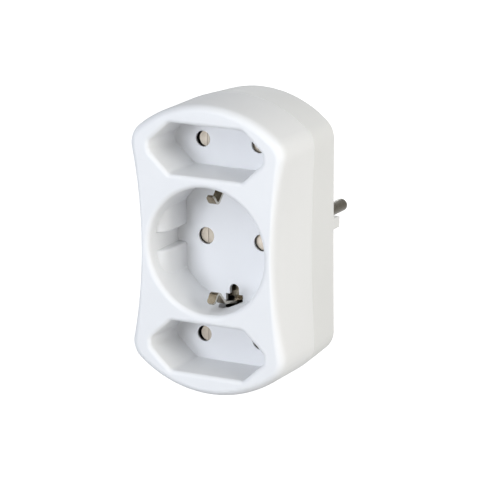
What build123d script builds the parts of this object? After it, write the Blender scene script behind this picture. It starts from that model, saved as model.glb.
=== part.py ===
from build123d import *
import os
from math import cos, radians, sin

os.makedirs("parts", exist_ok=True)

# Three-way mains adapter. Millimetres, +X right, +Z up, +Y towards the wall.
# The origin is the centre of the plug's end face, where the two pins stand out.
# Depths are measured from the front face towards the wall.

# Plug pins and pin holes
pin_pitch = 19.0
flat_tip_pitch = 17.5
pin_radius = 2.0
pin_length = 19.0
pin_tip_rounding = 1.0
pin_shank_radius = 1.6
round_hole_radius = 2.65
flat_hole_radius = 2.45
hole_rim = 0.6
hole_relief = 1.3

# Round well in the middle
round_well_radius = 19.45
round_well_depth = 17.9
round_floor = 1.4
guide_gap = 32.7
guide_slot_width = 5.5
guide_start = 4.0
guide_nose = 5.5
guide_edge = 0.7
guide_root = 0.2
clip_groove_width = 5.8
clip_groove_start = 9.4
clip_groove = 2.2
round_mouth = 1.6

# Flat wells above and below it
flat_well_length = 38.4
flat_well_height = 15.6
flat_well_depth = 16.2
flat_well_slant = 6.9
flat_well_end = 3.0
flat_well_corner = 2.0
flat_floor = 1.6
flat_mouth = 1.4
flat_floor_rounding = 0.3
mouth_share = 0.9
well_web = 3.2
cup_wall = 1.7

# Housing
waist_wall = 3.4
end_margin = 6.4
corner_margin = 7.8
arch_rise = 11.5
corner_radius = 7.2
parting_waist_flare = 2.3
parting_height_flare = 0.2
parting_corner_draft = 0.6
back_waist_draft = 0.65
back_height_draft = 1.1
back_bow = 0.1
front_rounding = 3.6
front_inset_height = 2.3
front_inset_waist = 1.5
front_inset_corner = 3.2
front_inset_arch = 0.7
front_inset_radius = 2.8
wall = 2.0
front_wall = 2.2
back_wall = 1.4
back_rounding = 1.2
hollow_inset = 0.8
tip_clearance = 0.1
parting_gap = 0.8
parting_chamfer = 0.3
tongue_height = 1.5
tongue_wall = 1.0
tongue_gap = 0.5

# Plug nose
nose_length = 15.7
nose_radius = 18.4
nose_flat_gap = 32.4
nose_wall = 2.2
nose_end_wall = 3.0
nose_chamfer = 0.8
rib_width = 3.4
rib_span = 37.0
earth_groove_width = 7.0
earth_groove_span = 28.4

# Strips, straps and rivets
sheet = 0.8
strip_width = 8.0
strip_overhang = 4.6
strip_hole_gap = 0.6
leaf_height = 8.0
leaf_length = 10.8
leaf_root_length = 1.4
leaf_throat = 0.12
lip_gap = 0.6
lip_depth = 0.1
round_lip_radius = 2.55
flat_lip_radius = 2.5
strap_width = 6.0
strap_span = 37.0
clip_width = 2.7
clip_root = 0.9
clip_tip_rounding = 0.9
clip_apex_depth = 5.9
clip_fold_span = 28.0
clip_end_depth = 3.6
clip_end_span = 33.8
clip_foot_depth = 9.9
clip_foot_span = 36.2
clip_slot_span = 28.0
clip_slot_width = 3.2
strap_seat = 1.2
strap_seat_length = 2.0
strap_seat_margin = 1.0
strap_side_gap = 0.2
strap_face_gap = 0.1
fold_radius = 0.9
leg_fold_radius = 1.0
leg_setback = 0.4
pin_strap_land = 1.4
pin_head = 0.8
rivet_radius = 1.2
rivet_head_radius = 2.0
rivet_head = 0.7
rivet_gap = 0.05
rivet_land = 0.6

# Screws
screw_radius = 1.3
screw_length = 8.0
screw_head_radius = 2.8
screw_head = 2.0
screw_recess_span = 3.36
screw_recess_width = 0.6
screw_gap = 0.1
boss_radius = 3.5
boss_reach = 8.4
seat_wall = 2.0
tower_wall = 1.2
screw_head_gap = 0.4
peg_radius = 1.2

# Sizes that follow from the ones above
half_pitch = pin_pitch / 2
flat_well_z = round_well_radius + well_web + flat_well_height / 2
half_height = flat_well_z + flat_well_height / 2 + end_margin
corner_z = half_height - arch_rise
front_waist = round_well_radius + waist_wall
front_corner_x = flat_well_length / 2 + corner_margin
flat_corner_drop = arch_rise * ((flat_well_length / 2 - flat_well_slant) / front_corner_x) ** 2
flat_corner_land = end_margin - front_inset_height - flat_corner_drop
flat_rim = min(flat_mouth, mouth_share * flat_corner_land)
parting_waist = front_waist + parting_waist_flare
parting_corner_x = front_corner_x - parting_corner_draft
parting_height = half_height + parting_height_flare
back_waist = parting_waist - back_waist_draft
round_floor_back = round_well_depth + round_floor
flat_floor_back = flat_well_depth + flat_floor
parting_depth = round_floor_back + parting_gap
housing_depth = flat_well_depth + pin_length + tip_clearance + back_wall
total_depth = housing_depth + nose_length
back_inside = housing_depth - back_wall
round_lip_front = round_well_depth + hole_rim + lip_gap
flat_lip_front = flat_well_depth + hole_rim + lip_gap
strip_front = round_lip_front + leaf_length
strip_back = strip_front + sheet
nose_end_inside = total_depth - nose_end_wall
groove_floor = earth_groove_span / 2
strap_front = round_floor_back + strap_seat
strap_back = strap_front + sheet
pin_strap_z = leaf_height / 2 + sheet
strap_rivet_z = pin_strap_z + sheet + rivet_head_radius + rivet_land
peg_z = (strap_rivet_z + flat_well_z) / 2
boss_end = flat_floor_back + boss_reach
screw_seat = boss_end + seat_wall


def plane_at(depth):
    """Plane across the adapter at a depth, seen from the front: its normal points forwards."""
    return Plane.XZ.offset(total_depth - depth)


def y_at(depth):
    """Y of a depth."""
    return depth - total_depth


def housing_outline(depth, height, waist, corner_x, corner_height, radius):
    """Waisted outline of the housing at a depth: arched ends, hollow sides, rounded corners."""
    with BuildSketch(plane_at(depth)) as section:
        with BuildLine():
            ThreePointArc((corner_x, corner_height), (0, height), (-corner_x, corner_height))
            ThreePointArc((-corner_x, corner_height), (-waist, 0), (-corner_x, -corner_height))
            ThreePointArc((-corner_x, -corner_height), (0, -height), (corner_x, -corner_height))
            ThreePointArc((corner_x, -corner_height), (waist, 0), (corner_x, corner_height))
        make_face()
        fillet(section.vertices(), radius)
    return section.sketch


def parting_outline(depth, inset):
    """Outline at the parting line, set in by a distance."""
    return housing_outline(
        depth,
        parting_height - inset,
        parting_waist - inset,
        parting_corner_x - inset,
        corner_z + parting_height_flare - inset / 2,
        corner_radius - inset,
    )


def back_outline(depth, inset):
    """Outline of the back face, set in by a distance."""
    return housing_outline(
        depth,
        parting_height - back_height_draft - inset,
        back_waist - inset,
        back_waist + back_bow - inset,
        corner_z - inset / 2,
        corner_radius - inset,
    )


def flat_well_outline(depth, grow):
    """Outlines of both flat wells: long sides, slanted ends with a short flat, rounded corners."""
    long_x = flat_well_length / 2 - flat_well_slant
    end_x = flat_well_length / 2
    top = flat_well_height / 2
    end = flat_well_end / 2
    with BuildSketch(plane_at(depth)) as wells:
        with Locations((0, flat_well_z), (0, -flat_well_z)):
            Polygon(
                (long_x, top),
                (-long_x, top),
                (-end_x, end),
                (-end_x, -end),
                (-long_x, -top),
                (long_x, -top),
                (end_x, -end),
                (end_x, end),
                align=None,
            )
        fillet(wells.vertices(), flat_well_corner)
        if grow > 0:
            offset(amount=grow)
    return wells.sketch


# Hollow behind the front face, round the three cups
hollow_front = housing_outline(
    front_wall,
    half_height - wall - hollow_inset,
    front_waist - wall - hollow_inset,
    front_corner_x - wall - hollow_inset,
    corner_z - wall / 2,
    corner_radius - wall,
)
with BuildPart() as front_hollow:
    loft([hollow_front, parting_outline(parting_depth, wall)], ruled=True)
    with BuildSketch(plane_at(round_floor_back)):
        Circle(round_well_radius + cup_wall)
    extrude(amount=round_floor_back, mode=Mode.SUBTRACT)
    extrude(flat_well_outline(flat_floor_back, cup_wall), amount=flat_floor_back, mode=Mode.SUBTRACT)

# Guide blocks in the round well: flats on both sides with rounded noses, each split by a slot
block_back = round_well_radius + guide_root
with BuildPart() as guide_blocks:
    with BuildSketch(Plane.XY) as block_profile:
        with BuildLine():
            EllipticalCenterArc(
                (block_back, y_at(guide_start + guide_nose)),
                block_back - guide_gap / 2,
                guide_nose,
                start_angle=180,
                arc_size=90,
            )
            Polyline(
                (block_back, y_at(guide_start)),
                (block_back, y_at(round_well_depth)),
                (guide_gap / 2, y_at(round_well_depth)),
                (guide_gap / 2, y_at(guide_start + guide_nose)),
            )
        make_face()
        mirror(about=Plane.YZ)
    extrude(amount=round_well_radius, both=True)
    with BuildSketch(plane_at(round_well_depth)):
        Circle(block_back)
        Rectangle(3 * round_well_radius, guide_slot_width, mode=Mode.SUBTRACT)
    extrude(amount=round_well_depth, mode=Mode.INTERSECT)
    slot_faces = guide_blocks.faces().filter_by(Axis.Z)
    slot_edges = slot_faces.edges().filter_by_position(
        Axis.Y, y_at(guide_start), y_at(round_well_depth), (False, False)
    )
    nose_back = block_back - guide_edge
    fillet(slot_edges.filter_by_position(Axis.X, -nose_back, nose_back), guide_edge)

# Outlines of the front shell: its rounded front edge, then its side back to the parting line
shell_sections = []
for angle in (0, 22.5, 45, 67.5):
    inset = 1 - sin(radians(angle))
    shell_sections.append(
        housing_outline(
            front_rounding * (1 - cos(radians(angle))),
            half_height - front_inset_height * inset,
            front_waist - front_inset_waist * inset,
            front_corner_x - front_inset_corner * inset,
            corner_z - front_inset_arch * inset,
            corner_radius - front_inset_radius * inset,
        )
    )
side_steps = 10
for step in range(side_steps + 1):
    share = step / side_steps
    shell_sections.append(
        housing_outline(
            front_rounding + (parting_depth - front_rounding) * share,
            half_height + parting_height_flare * share,
            front_waist + parting_waist_flare * share,
            front_corner_x - parting_corner_draft * share,
            corner_z + parting_height_flare * share,
            corner_radius,
        )
    )

with BuildPart() as front_shell:
    loft(shell_sections)
    add(front_hollow.part, mode=Mode.SUBTRACT)

    # Wells and their rounded mouths
    with BuildSketch(plane_at(round_well_depth)):
        Circle(round_well_radius)
    extrude(amount=round_well_depth, mode=Mode.SUBTRACT)
    extrude(flat_well_outline(flat_well_depth, 0), amount=flat_well_depth, mode=Mode.SUBTRACT)
    mouth_edges = front_shell.faces().sort_by(Axis.Y)[0].inner_wires().edges()
    mouth_circles = mouth_edges.filter_by(GeomType.CIRCLE)
    fillet(mouth_circles.filter_by(lambda edge: edge.radius > round_well_radius / 2), round_mouth)
    mouth_edges = front_shell.faces().sort_by(Axis.Y)[0].inner_wires().edges()
    fillet(mouth_edges.filter_by(lambda edge: abs(edge.center().Z) > round_well_radius), flat_rim)
    flat_floors = front_shell.faces().filter_by(Axis.Y).filter_by_position(
        Axis.Y, y_at(flat_well_depth), y_at(flat_well_depth)
    )
    fillet(flat_floors.edges(), flat_floor_rounding)
    add(guide_blocks.part)

    # Grooves behind the earth clips, and the slots they come through
    groove_length = round_well_depth - clip_groove_start
    with BuildSketch(Plane.XY):
        with Locations((0, y_at(round_well_depth))):
            Ellipse(clip_groove_width / 2, groove_length)
            Rectangle(clip_groove_width, groove_length, align=(Align.CENTER, Align.MIN), mode=Mode.SUBTRACT)
    extrude(amount=round_well_radius + clip_groove, both=True, mode=Mode.SUBTRACT)
    slot_top = clip_slot_span / 2
    slot_back = round_well_radius + clip_groove
    with BuildSketch(plane_at(round_floor_back)):
        for side in (1, -1):
            with Locations((0, side * (slot_top + round_well_radius) / 2)):
                Rectangle(clip_slot_width, round_well_radius - slot_top - clip_slot_width)
            with Locations((0, side * (slot_top + clip_slot_width / 2))):
                Circle(clip_slot_width / 2)
            with Locations((0, side * (slot_top + clip_slot_width + slot_back) / 2)):
                Rectangle(clip_groove_width, slot_back - slot_top - clip_slot_width)
    extrude(amount=round_floor, mode=Mode.SUBTRACT)

    # Pin holes, each with a thin rim and a wider relief behind it
    with BuildSketch(plane_at(round_floor_back)):
        with Locations((half_pitch, 0), (-half_pitch, 0)):
            Circle(round_hole_radius)
    extrude(amount=round_floor, mode=Mode.SUBTRACT)
    with BuildSketch(plane_at(round_floor_back)):
        with Locations((half_pitch, 0), (-half_pitch, 0)):
            Circle(round_hole_radius + hole_relief)
    extrude(amount=round_floor - hole_rim, mode=Mode.SUBTRACT)
    with BuildSketch(plane_at(flat_floor_back)):
        with GridLocations(pin_pitch, 2 * flat_well_z, 2, 2):
            Circle(flat_hole_radius)
    extrude(amount=flat_floor, mode=Mode.SUBTRACT)
    with BuildSketch(plane_at(flat_floor_back)):
        with GridLocations(pin_pitch, 2 * flat_well_z, 2, 2):
            Circle(flat_hole_radius + hole_relief)
    extrude(amount=flat_floor - hole_rim, mode=Mode.SUBTRACT)

    # Seats of the socket earth strap, and the screw bosses
    with BuildSketch(plane_at(strap_front)):
        with Locations((0, clip_slot_span / 3), (0, -clip_slot_span / 3)):
            Rectangle(strap_width + 2 * strap_seat_margin, strap_seat_length)
    extrude(amount=strap_seat)
    with BuildSketch(plane_at(flat_floor_back + boss_reach)):
        with Locations((0, flat_well_z), (0, -flat_well_z)):
            Circle(boss_radius)
            Circle(screw_radius + screw_gap, mode=Mode.SUBTRACT)
    extrude(amount=boss_reach)
front_shell.part.label = "front_shell"
export_step(front_shell.part, "parts/front_shell.step")

# Plug nose: round with flats at the sides, a rib on each flat, and a groove above and below
with BuildPart() as nose:
    with BuildSketch(Plane.XZ):
        Circle(nose_radius)
        Rectangle(nose_flat_gap, 2 * nose_radius, mode=Mode.INTERSECT)
        Rectangle(rib_span, rib_width)
        with Locations((0, groove_floor + nose_radius / 2), (0, -groove_floor - nose_radius / 2)):
            Rectangle(earth_groove_width, nose_radius, mode=Mode.SUBTRACT)
    extrude(amount=nose_length + back_wall)
    chamfer(nose.faces().sort_by(Axis.Y)[-1].outer_wire().edges(), nose_chamfer)

with BuildPart() as rear_shell:
    loft(
        [
            parting_outline(parting_depth, parting_chamfer),
            parting_outline(parting_depth + parting_chamfer, 0),
            back_outline(housing_depth, 0),
        ],
        ruled=True,
    )
    fillet(rear_shell.faces().sort_by(Axis.Y)[-1].edges(), back_rounding)
    add(nose.part)
    loft(
        [parting_outline(parting_depth, wall), back_outline(back_inside, wall)],
        ruled=True,
        mode=Mode.SUBTRACT,
    )

    # Tongue that reaches into the front shell
    tongue_root = parting_depth + 2
    tongue_inset = wall + tongue_gap
    extrude(parting_outline(tongue_root, wall / 2), amount=2)
    extrude(parting_outline(tongue_root, tongue_inset), amount=2 + tongue_height)
    extrude(
        parting_outline(tongue_root, tongue_inset + tongue_wall),
        amount=2 + tongue_height,
        mode=Mode.SUBTRACT,
    )

    # Inside of the nose, the pin holes in its end and the slots of the plug earth strap
    with BuildSketch(plane_at(nose_end_inside)):
        Circle(nose_radius - nose_wall)
        Rectangle(nose_flat_gap - 2 * nose_wall, 2 * (groove_floor - nose_wall), mode=Mode.INTERSECT)
    extrude(amount=nose_end_inside - back_inside, mode=Mode.SUBTRACT)
    with BuildSketch(plane_at(total_depth)):
        with Locations((half_pitch, 0), (-half_pitch, 0)):
            Circle(pin_shank_radius + rivet_gap)
    extrude(amount=nose_end_wall, mode=Mode.SUBTRACT)
    with BuildSketch(plane_at(housing_depth)):
        with Locations((0, groove_floor + sheet / 2), (0, -groove_floor - sheet / 2)):
            Rectangle(strap_width + 2 * strap_side_gap, sheet + 2 * strap_face_gap)
    extrude(amount=back_wall, mode=Mode.SUBTRACT)

    # Seats and pegs of the two strips
    with BuildSketch(plane_at(strip_back)):
        with GridLocations(pin_pitch, 2 * peg_z, 2, 2):
            Rectangle(strip_width, 2 * peg_radius + 2)
    extrude(amount=strip_back - back_inside)
    with BuildSketch(plane_at(strip_front - 1)):
        with GridLocations(pin_pitch, 2 * peg_z, 2, 2):
            Circle(peg_radius)
    extrude(amount=strip_front - 1 - strip_back)

    # Screw towers
    with BuildSketch(plane_at(boss_end)):
        with Locations((0, flat_well_z), (0, -flat_well_z)):
            Circle(screw_head_radius + screw_head_gap + tower_wall)
    extrude(amount=boss_end - housing_depth)
    with BuildSketch(plane_at(screw_seat)):
        with Locations((0, flat_well_z), (0, -flat_well_z)):
            Circle(screw_radius + 2 * screw_gap)
    extrude(amount=seat_wall, mode=Mode.SUBTRACT)
    with BuildSketch(plane_at(housing_depth)):
        with Locations((0, flat_well_z), (0, -flat_well_z)):
            Circle(screw_head_radius + screw_head_gap)
    extrude(amount=housing_depth - screw_seat, mode=Mode.SUBTRACT)
rear_shell.part.label = "rear_shell"
export_step(rear_shell.part, "parts/rear_shell.step")

# Strip with three pairs of contact leaves: the lips are discs, split down the middle, close behind
# the pin holes. The pins of a flat plug lean towards each other, and so do the flat wells' lips.
leaf_root = strip_width / 2 - sheet
leaf_sets = [
    (0, half_pitch, round_lip_radius, round_lip_front),
    (flat_well_z, flat_tip_pitch / 2, flat_lip_radius, flat_lip_front),
    (-flat_well_z, flat_tip_pitch / 2, flat_lip_radius, flat_lip_front),
]
with BuildPart() as neutral_strip:
    with BuildSketch(plane_at(strip_back)):
        with Locations((half_pitch, 0)):
            Rectangle(strip_width, 2 * (flat_well_z + strip_overhang))
        with Locations((half_pitch, 0), (half_pitch, flat_well_z), (half_pitch, -flat_well_z)):
            Circle(pin_radius + strip_hole_gap, mode=Mode.SUBTRACT)
        with Locations((half_pitch, peg_z), (half_pitch, -peg_z)):
            Circle(peg_radius + rivet_gap, mode=Mode.SUBTRACT)
        with Locations((half_pitch, strap_rivet_z)):
            Circle(rivet_radius + rivet_gap, mode=Mode.SUBTRACT)
    extrude(amount=sheet)
    for leaf_z, lip_x, lip_radius, lip_front in leaf_sets:
        for way, outside in ((1, Side.LEFT), (-1, Side.RIGHT)):
            with BuildSketch(Plane.XY.offset(leaf_z)):
                with BuildLine():
                    Polyline(
                        (half_pitch + way * leaf_root, y_at(strip_front)),
                        (half_pitch + way * leaf_root, y_at(strip_front - leaf_root_length)),
                        (lip_x + way * leaf_throat / 2, y_at(lip_front + lip_depth)),
                        (lip_x + way * lip_radius, y_at(lip_front)),
                    )
                    offset(amount=sheet, side=outside)
                make_face()
            extrude(amount=leaf_height / 2, both=True)
        with BuildSketch(plane_at(lip_front + lip_depth + sheet)):
            with Locations((lip_x, leaf_z)):
                Rectangle(strip_width, 2 * leaf_height)
                Circle(lip_radius, mode=Mode.SUBTRACT)
        extrude(amount=lip_depth + sheet, mode=Mode.SUBTRACT)
neutral_strip.part.label = "neutral_strip"
export_step(neutral_strip.part, "parts/neutral_strip.step")

with BuildPart() as live_strip:
    mirror(neutral_strip.part, about=Plane.YZ)
live_strip.part.label = "live_strip"
export_step(live_strip.part, "parts/live_strip.step")

# Folded strap from the strip's back to the pin's shank at the nose's end wall
with BuildPart() as neutral_pin_strap:
    with BuildSketch(Plane.YZ.offset(half_pitch)):
        with BuildLine():
            FilletPolyline(
                (y_at(strip_back), strap_rivet_z + rivet_head_radius + rivet_land),
                (y_at(strip_back), pin_strap_z),
                (y_at(nose_end_inside - sheet), pin_strap_z),
                (y_at(nose_end_inside - sheet), -pin_shank_radius - pin_strap_land),
                radius=fold_radius,
            )
            offset(amount=sheet, side=Side.LEFT)
        make_face()
    extrude(amount=strap_width / 2, both=True)
    with BuildSketch(plane_at(nose_end_inside)):
        with Locations((half_pitch, 0)):
            Circle(pin_shank_radius + rivet_gap)
    extrude(amount=sheet, mode=Mode.SUBTRACT)
    with BuildSketch(plane_at(strip_back + sheet)):
        with Locations((half_pitch, strap_rivet_z)):
            Circle(rivet_radius + rivet_gap)
    extrude(amount=sheet, mode=Mode.SUBTRACT)
neutral_pin_strap.part.label = "neutral_pin_strap"
export_step(neutral_pin_strap.part, "parts/neutral_pin_strap.step")

with BuildPart() as live_pin_strap:
    mirror(neutral_pin_strap.part, about=Plane.YZ)
live_pin_strap.part.label = "live_pin_strap"
export_step(live_pin_strap.part, "parts/live_pin_strap.step")

# Plug pin: rounded tip, shoulder on the end face, shank riveted over inside
with BuildPart() as neutral_pin:
    with BuildSketch(Plane.XZ):
        with Locations((half_pitch, 0)):
            Circle(pin_radius)
    extrude(amount=-pin_length)
    fillet(neutral_pin.faces().sort_by(Axis.Y)[-1].edges(), pin_tip_rounding)
    with BuildSketch(Plane.XZ):
        with Locations((half_pitch, 0)):
            Circle(pin_shank_radius)
    extrude(amount=nose_end_wall + sheet)
    with BuildSketch(plane_at(nose_end_inside - sheet)):
        with Locations((half_pitch, 0)):
            Circle(pin_shank_radius + pin_head)
    extrude(amount=rivet_head)
neutral_pin.part.label = "neutral_pin"
export_step(neutral_pin.part, "parts/neutral_pin.step")

with BuildPart() as live_pin:
    mirror(neutral_pin.part, about=Plane.YZ)
live_pin.part.label = "live_pin"
export_step(live_pin.part, "parts/live_pin.step")

# Socket earth strap: a folded strip behind the round well's floor with a spring clip at both ends
clip_run = round_well_radius + clip_root
with BuildPart() as socket_earth_strap:
    with BuildSketch(Plane.YZ):
        with BuildLine():
            FilletPolyline(
                (y_at(strap_back), 0),
                (y_at(strap_back), clip_run),
                (y_at(clip_foot_depth), clip_foot_span / 2),
                (y_at(clip_apex_depth), clip_fold_span / 2),
                (y_at(clip_end_depth), clip_end_span / 2),
                radius=fold_radius,
            )
            offset(amount=sheet, side=Side.LEFT)
        make_face()
    extrude(amount=clip_width / 2, both=True)
    tip_edges = socket_earth_strap.faces().sort_by(Axis.Y)[0].edges().sort_by(Axis.X)
    fillet([tip_edges[0], tip_edges[-1]], clip_tip_rounding)
    with BuildSketch(plane_at(strap_back)):
        Rectangle(strap_width, strap_span)
    extrude(amount=sheet)
    mirror(about=Plane.XY)
    with BuildSketch(plane_at(strap_back)):
        Circle(rivet_radius + rivet_gap)
    extrude(amount=sheet, mode=Mode.SUBTRACT)
socket_earth_strap.part.label = "socket_earth_strap"
export_step(socket_earth_strap.part, "parts/socket_earth_strap.step")

# Plug earth strap: its two legs come out of the back wall and lie in the grooves of the nose
with BuildPart() as plug_earth_strap:
    with BuildSketch(Plane.YZ):
        with BuildLine():
            FilletPolyline(
                (y_at(strap_back), 0),
                (y_at(strap_back), groove_floor + sheet),
                (-nose_chamfer - leg_setback, groove_floor + sheet),
                radius=leg_fold_radius,
            )
            offset(amount=sheet, side=Side.RIGHT)
        make_face()
    extrude(amount=strap_width / 2, both=True)
    mirror(about=Plane.XY)
    with BuildSketch(plane_at(strap_back + sheet)):
        Circle(rivet_radius + rivet_gap)
    extrude(amount=sheet, mode=Mode.SUBTRACT)
plug_earth_strap.part.label = "plug_earth_strap"
export_step(plug_earth_strap.part, "parts/plug_earth_strap.step")

# Rivets: one joins the earth straps, one joins each pin strap to its strip
rivet_planes = [
    plane_at(strap_front),
    Plane(origin=(half_pitch, y_at(strip_front), strap_rivet_z), x_dir=(1, 0, 0), z_dir=(0, -1, 0)),
    Plane(origin=(-half_pitch, y_at(strip_front), strap_rivet_z), x_dir=(1, 0, 0), z_dir=(0, -1, 0)),
]
with BuildPart() as strap_rivets:
    with BuildSketch(*rivet_planes):
        Circle(rivet_radius)
    extrude(amount=-2 * sheet)
    with BuildSketch(*rivet_planes):
        Circle(rivet_head_radius)
    extrude(amount=rivet_head)
    with BuildSketch(*[plane.offset(-2 * sheet) for plane in rivet_planes]):
        Circle(rivet_head_radius)
    extrude(amount=-rivet_head)
strap_rivets.part.label = "strap_rivets"
export_step(strap_rivets.part, "parts/strap_rivets.step")

# Housing screws: cross-recessed heads on the towers' seats, shanks in the bosses
screw_planes = [
    Plane(origin=(0, y_at(screw_seat), flat_well_z), x_dir=(1, 0, 0), z_dir=(0, -1, 0)),
    Plane(origin=(0, y_at(screw_seat), -flat_well_z), x_dir=(1, 0, 0), z_dir=(0, -1, 0)),
]
with BuildPart() as housing_screws:
    with BuildSketch(*screw_planes):
        Circle(screw_radius)
    extrude(amount=screw_length)
    with BuildSketch(*screw_planes):
        Circle(screw_head_radius)
    extrude(amount=-screw_head)
    with BuildSketch(*[plane.offset(-screw_head) for plane in screw_planes]):
        Rectangle(screw_recess_span, screw_recess_width)
        Rectangle(screw_recess_width, screw_recess_span)
    extrude(amount=screw_head / 2, mode=Mode.SUBTRACT)
housing_screws.part.label = "housing_screws"
export_step(housing_screws.part, "parts/housing_screws.step")
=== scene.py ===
import bpy
import math
from mathutils import Matrix, Vector

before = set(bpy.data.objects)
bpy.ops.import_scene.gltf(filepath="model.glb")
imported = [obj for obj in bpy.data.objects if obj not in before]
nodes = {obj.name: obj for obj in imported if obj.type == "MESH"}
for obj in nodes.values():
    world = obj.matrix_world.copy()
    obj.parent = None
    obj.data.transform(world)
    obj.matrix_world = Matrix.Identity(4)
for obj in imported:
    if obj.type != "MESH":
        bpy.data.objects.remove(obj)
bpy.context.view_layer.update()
scene = bpy.context.scene
scene.view_settings.view_transform = "Standard"

# Noise: the values between which it mostly lies, and where a surface's two colours begin and end on it
noise_low, noise_high = 0.3, 0.7
stain_low, stain_high = 0.35, 0.65

# Plastic: noise scales of its flow, gloss and grain, the grain's bump, and its gloss
flow_scale = 26
gloss_scale = 60
grain_scale = 2600
grain_bump, grain_depth = 0.12, 0.00008
plastic_ior = 1.5
plastic_rough = (0.58, 0.68)

# Metal: noise scales of its drawn lines and its stains, which on the earth straps are painted dark
# reflection, and the lines' bump
drawn_scale = 900
stain_and_reflection_scale = 320
drawn_bump, drawn_depth = 0.15, 0.00004

# Floor: half its width, how far it lies under the adapter's middle, its paper and its glow to the camera
floor_half = 6
floor_drop = 0.13
paper_scale = 3
paper_dark, paper_light = (0.49, 0.49, 0.49), (0.51, 0.51, 0.51)
paper_rough = 0.9
paper_gloss = 0.1
floor_glow = 0.88

# World: the soft light from all round
ambient_colour = (0.97, 0.98, 1.0, 1)
ambient_strength = 0.22
white = (1, 1, 1, 1)

# Camera, as in the photo: its direction and roll in degrees, its distance in metres, its focal length and
# sensor in millimetres, and how far the picture is shifted, in pixels of a picture of this size
camera_azimuth, camera_elevation, camera_roll = 28.762, 14.813, -0.341
camera_distance = 1.0
focal_length, sensor_width = 248.41, 36
picture_size = 480
shift_right, shift_up = 2.62, -2.38
view_limit = 30
target = Vector((0, -0.0324, 0))


def material(name):
    """New material with its shader; gives the material, its node tree and the shader."""
    mat = bpy.data.materials.new(name)
    mat.use_nodes = True
    tree = mat.node_tree
    return mat, tree, tree.nodes["Principled BSDF"]


def noise(tree, scale, detail, stretch=(1, 1, 1)):
    """Noise on object coordinates, stretched along the axes."""
    coords = tree.nodes.new("ShaderNodeTexCoord")
    mapping = tree.nodes.new("ShaderNodeMapping")
    mapping.inputs["Scale"].default_value = stretch
    tex = tree.nodes.new("ShaderNodeTexNoise")
    tex.inputs["Scale"].default_value = scale
    tex.inputs["Detail"].default_value = detail
    tree.links.new(coords.outputs["Object"], mapping.inputs["Vector"])
    tree.links.new(mapping.outputs["Vector"], tex.inputs["Vector"])
    return tex.outputs["Fac"]


def ramp(tree, value, *stops):
    """Colour ramp over a value, between two (place, colour) stops."""
    node = tree.nodes.new("ShaderNodeValToRGB")
    for point, (place, colour) in zip(node.color_ramp.elements, stops):
        point.position = place
        point.color = (*colour, 1)
    tree.links.new(value, node.inputs["Fac"])
    return node.outputs["Color"]


def spread(tree, value, low, high):
    """Maps a noise value to a range."""
    node = tree.nodes.new("ShaderNodeMapRange")
    node.inputs["From Min"].default_value = noise_low
    node.inputs["From Max"].default_value = noise_high
    node.inputs["To Min"].default_value = low
    node.inputs["To Max"].default_value = high
    tree.links.new(value, node.inputs["Value"])
    return node.outputs["Result"]


def bump(tree, shader, height, strength, distance):
    """Bump on a shader from a height."""
    node = tree.nodes.new("ShaderNodeBump")
    node.inputs["Strength"].default_value = strength
    node.inputs["Distance"].default_value = distance
    tree.links.new(height, node.inputs["Height"])
    tree.links.new(node.outputs["Normal"], shader.inputs["Normal"])


def moulded_plastic(name, light, dark):
    """White moulding: a faint flow in its colour, fine spark-eroded grain and uneven gloss."""
    mat, tree, shader = material(name)
    colour = ramp(tree, noise(tree, flow_scale, detail=3), (stain_low, dark), (stain_high, light))
    tree.links.new(colour, shader.inputs["Base Color"])
    rough = spread(tree, noise(tree, gloss_scale, detail=4), *plastic_rough)
    tree.links.new(rough, shader.inputs["Roughness"])
    bump(tree, shader, noise(tree, grain_scale, detail=2), grain_bump, grain_depth)
    shader.inputs["IOR"].default_value = plastic_ior
    return mat


def plated_metal(name, light, dark, rough, stretch=(1, 1, 1), bare_edge_and_highlight=None):
    """Plated or bare sheet, rod or screw: drawn along one way, stained, with an edge colour where its faces
    point along X; on the earth straps the dark stains are painted dark reflection, and the edge colour is
    partly bare cut metal, partly a painted highlight.
    """
    mat, tree, shader = material(name)
    drawn = noise(tree, drawn_scale, detail=3, stretch=stretch)
    # Stain noise: real staining, and on the earth straps painted dark reflection
    colour = ramp(tree, noise(tree, stain_and_reflection_scale, detail=4), (stain_low, dark), (stain_high, light))
    # Edge colour on faces pointing along X: partly bare cut metal, partly a painted highlight
    if bare_edge_and_highlight:
        coords = tree.nodes.new("ShaderNodeTexCoord")
        normal = tree.nodes.new("ShaderNodeSeparateXYZ")
        across = tree.nodes.new("ShaderNodeMath")
        across.operation = "ABSOLUTE"
        blend = tree.nodes.new("ShaderNodeMix")
        blend.data_type = "RGBA"
        tree.links.new(coords.outputs["Normal"], normal.inputs["Vector"])
        tree.links.new(normal.outputs["X"], across.inputs[0])
        tree.links.new(spread(tree, across.outputs[0], 0, 1), blend.inputs["Factor"])
        tree.links.new(colour, blend.inputs["A"])
        blend.inputs["B"].default_value = (*bare_edge_and_highlight, 1)
        colour = blend.outputs["Result"]
    tree.links.new(colour, shader.inputs["Base Color"])
    tree.links.new(spread(tree, drawn, *rough), shader.inputs["Roughness"])
    bump(tree, shader, drawn, drawn_bump, drawn_depth)
    shader.inputs["Metallic"].default_value = 1.0
    return mat


def dress(mat, *names):
    """Gives CAD nodes a material."""
    for name in names:
        mesh = nodes[name].data
        for index in range(len(mesh.materials)):
            mesh.materials[index] = mat
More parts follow.
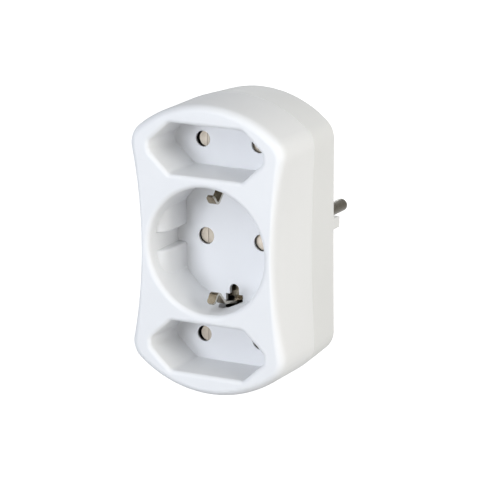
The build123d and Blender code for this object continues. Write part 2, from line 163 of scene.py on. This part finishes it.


# Materials: light and dark colour, and for metal its roughness, the way it was drawn and its edge colour,
# partly bare cut metal and partly painted highlight
front_plastic = moulded_plastic("front_plastic", (0.81, 0.81, 0.814), (0.795, 0.795, 0.799))
dress(front_plastic, "front_shell")
# The rear shell gets a darker, warmer copy of the front shell's white moulding: painted shade on the rear
# shell's faces
rear_plastic_painted_shade = moulded_plastic("rear_plastic_painted_shade", (0.768, 0.768, 0.763), (0.752, 0.752, 0.747))
dress(rear_plastic_painted_shade, "rear_shell")
contact = plated_metal("contact_nickel", (0.44, 0.392, 0.328), (0.37, 0.325, 0.265), (0.48, 0.6), (1, 6, 1))
dress(contact, "live_strip", "neutral_strip", "live_pin_strap", "neutral_pin_strap")
# The pins' near-black colour is painted shade on the bright nickel plating
pin = plated_metal("pin_nickel_painted_shade", (0.102, 0.091, 0.069), (0.071, 0.062, 0.045), (0.26, 0.4), (1, 8, 1))
dress(pin, "live_pin", "neutral_pin")
# The earth straps' dark brown faces and their strong stain blotches are painted dark reflection; their light
# sheared edges are partly the bare cut metal, partly a painted highlight
earth = plated_metal(
    "earth_nickel_painted_reflection", (0.36, 0.315, 0.24), (0.17, 0.138, 0.095), (0.12, 0.24), (6, 1, 1), bare_edge_and_highlight=(0.6, 0.57, 0.5)
)
dress(earth, "socket_earth_strap", "plug_earth_strap")
rivet = plated_metal("rivet_brass", (0.72, 0.56, 0.3), (0.58, 0.43, 0.22), (0.25, 0.4))
dress(rivet, "strap_rivets")
screw = plated_metal("screw_zinc", (0.62, 0.62, 0.64), (0.5, 0.5, 0.52), (0.25, 0.42))
dress(screw, "housing_screws")


def background_rays(tree):
    """1 for the rays that show the background: to the camera, off metal or through glass."""
    path = tree.nodes.new("ShaderNodeLightPath")
    value = path.outputs["Is Camera Ray"]
    for ray in ("Is Glossy Ray", "Is Transmission Ray"):
        either = tree.nodes.new("ShaderNodeMath")
        either.operation = "MAXIMUM"
        tree.links.new(value, either.inputs[0])
        tree.links.new(path.outputs[ray], either.inputs[1])
        value = either.outputs[0]
    return value


# Pale grey floor that glows white to the camera, some way under the adapter, which is held by its plug
floor_corners = [(floor_half * x, floor_half * y, 0) for x, y in ((-1, -1), (1, -1), (1, 1), (-1, 1))]
floor_mesh = bpy.data.meshes.new("floor")
floor_mesh.from_pydata(floor_corners, [], [(0, 1, 2, 3)])
floor = bpy.data.objects.new("floor", floor_mesh)
floor.location = (0, 0, -floor_drop)
scene.collection.objects.link(floor)
floor_mat, floor_tree, floor_shader = material("floor_paper")
paper_noise = noise(floor_tree, paper_scale, detail=3)
paper_colour = ramp(floor_tree, paper_noise, (noise_low, paper_dark), (noise_high, paper_light))
floor_tree.links.new(paper_colour, floor_shader.inputs["Base Color"])
floor_shader.inputs["Roughness"].default_value = paper_rough
floor_shader.inputs["Specular IOR Level"].default_value = paper_gloss
floor_shader.inputs["Emission Color"].default_value = white
glow = floor_tree.nodes.new("ShaderNodeMath")
glow.operation = "MULTIPLY"
glow.inputs[1].default_value = floor_glow
floor_tree.links.new(background_rays(floor_tree), glow.inputs[0])
floor_tree.links.new(glow.outputs[0], floor_shader.inputs["Emission Strength"])
floor_mesh.materials.append(floor_mat)

# World: white behind the adapter, and a plain soft light from all round it
world = bpy.data.worlds.new("studio")
scene.world = world
world.use_nodes = True
world_tree = world.node_tree
backdrop = world_tree.nodes["Background"]
backdrop.inputs["Color"].default_value = white
ambient = world_tree.nodes.new("ShaderNodeBackground")
ambient.inputs["Color"].default_value = ambient_colour
ambient.inputs["Strength"].default_value = ambient_strength
choice = world_tree.nodes.new("ShaderNodeMixShader")
world_tree.links.new(background_rays(world_tree), choice.inputs["Fac"])
world_tree.links.new(ambient.outputs["Background"], choice.inputs[1])
world_tree.links.new(backdrop.outputs["Background"], choice.inputs[2])
world_tree.links.new(choice.outputs["Shader"], world_tree.nodes["World Output"].inputs["Surface"])


def softbox(name, towards, distance, size, power, colour):
    """Square area lamp that faces the adapter from a direction; metres and watts."""
    lamp = bpy.data.lights.new(name, "AREA")
    lamp.size = size
    lamp.energy = power
    lamp.color = colour
    obj = bpy.data.objects.new(name, lamp)
    way = Vector(towards).normalized()
    obj.location = target + way * distance
    obj.rotation_euler = way.to_track_quat("Z", "Y").to_euler()
    scene.collection.objects.link(obj)


softbox("key", (-0.3, -0.945, 0.115), 1.6, 0.65, 13.2, (0.84, 0.885, 0.98))
softbox("high", (0.02, -0.74, 0.67), 1.6, 1.0, 6.7, (0.88, 0.945, 1.0))
softbox("fill", (0.933, -0.21, 0.297), 1.4, 0.8, 13.9, (1.0, 0.985, 0.93))
softbox("back", (-0.25, 0.96, 0.0), 1.6, 0.8, 12.0, (0.97, 0.985, 1.0))

# Camera
azimuth, elevation = math.radians(camera_azimuth), math.radians(camera_elevation)
roll = math.radians(camera_roll)
back = Vector(
    (
        math.sin(azimuth) * math.cos(elevation),
        -math.cos(azimuth) * math.cos(elevation),
        math.sin(elevation),
    )
)
right = Vector((0, 0, 1)).cross(back).normalized()
up = back.cross(right)
turned_right = right * math.cos(roll) + up * math.sin(roll)
turned_up = up * math.cos(roll) - right * math.sin(roll)
lens = bpy.data.cameras.new("camera")
lens.sensor_width = sensor_width
lens.lens = focal_length
lens.shift_x = shift_right / picture_size
lens.shift_y = shift_up / picture_size
lens.clip_end = view_limit
camera = bpy.data.objects.new("camera", lens)
camera.matrix_world = Matrix((turned_right, turned_up, back)).transposed().to_4x4()
camera.matrix_world.translation = target + back * camera_distance
scene.collection.objects.link(camera)
scene.camera = camera
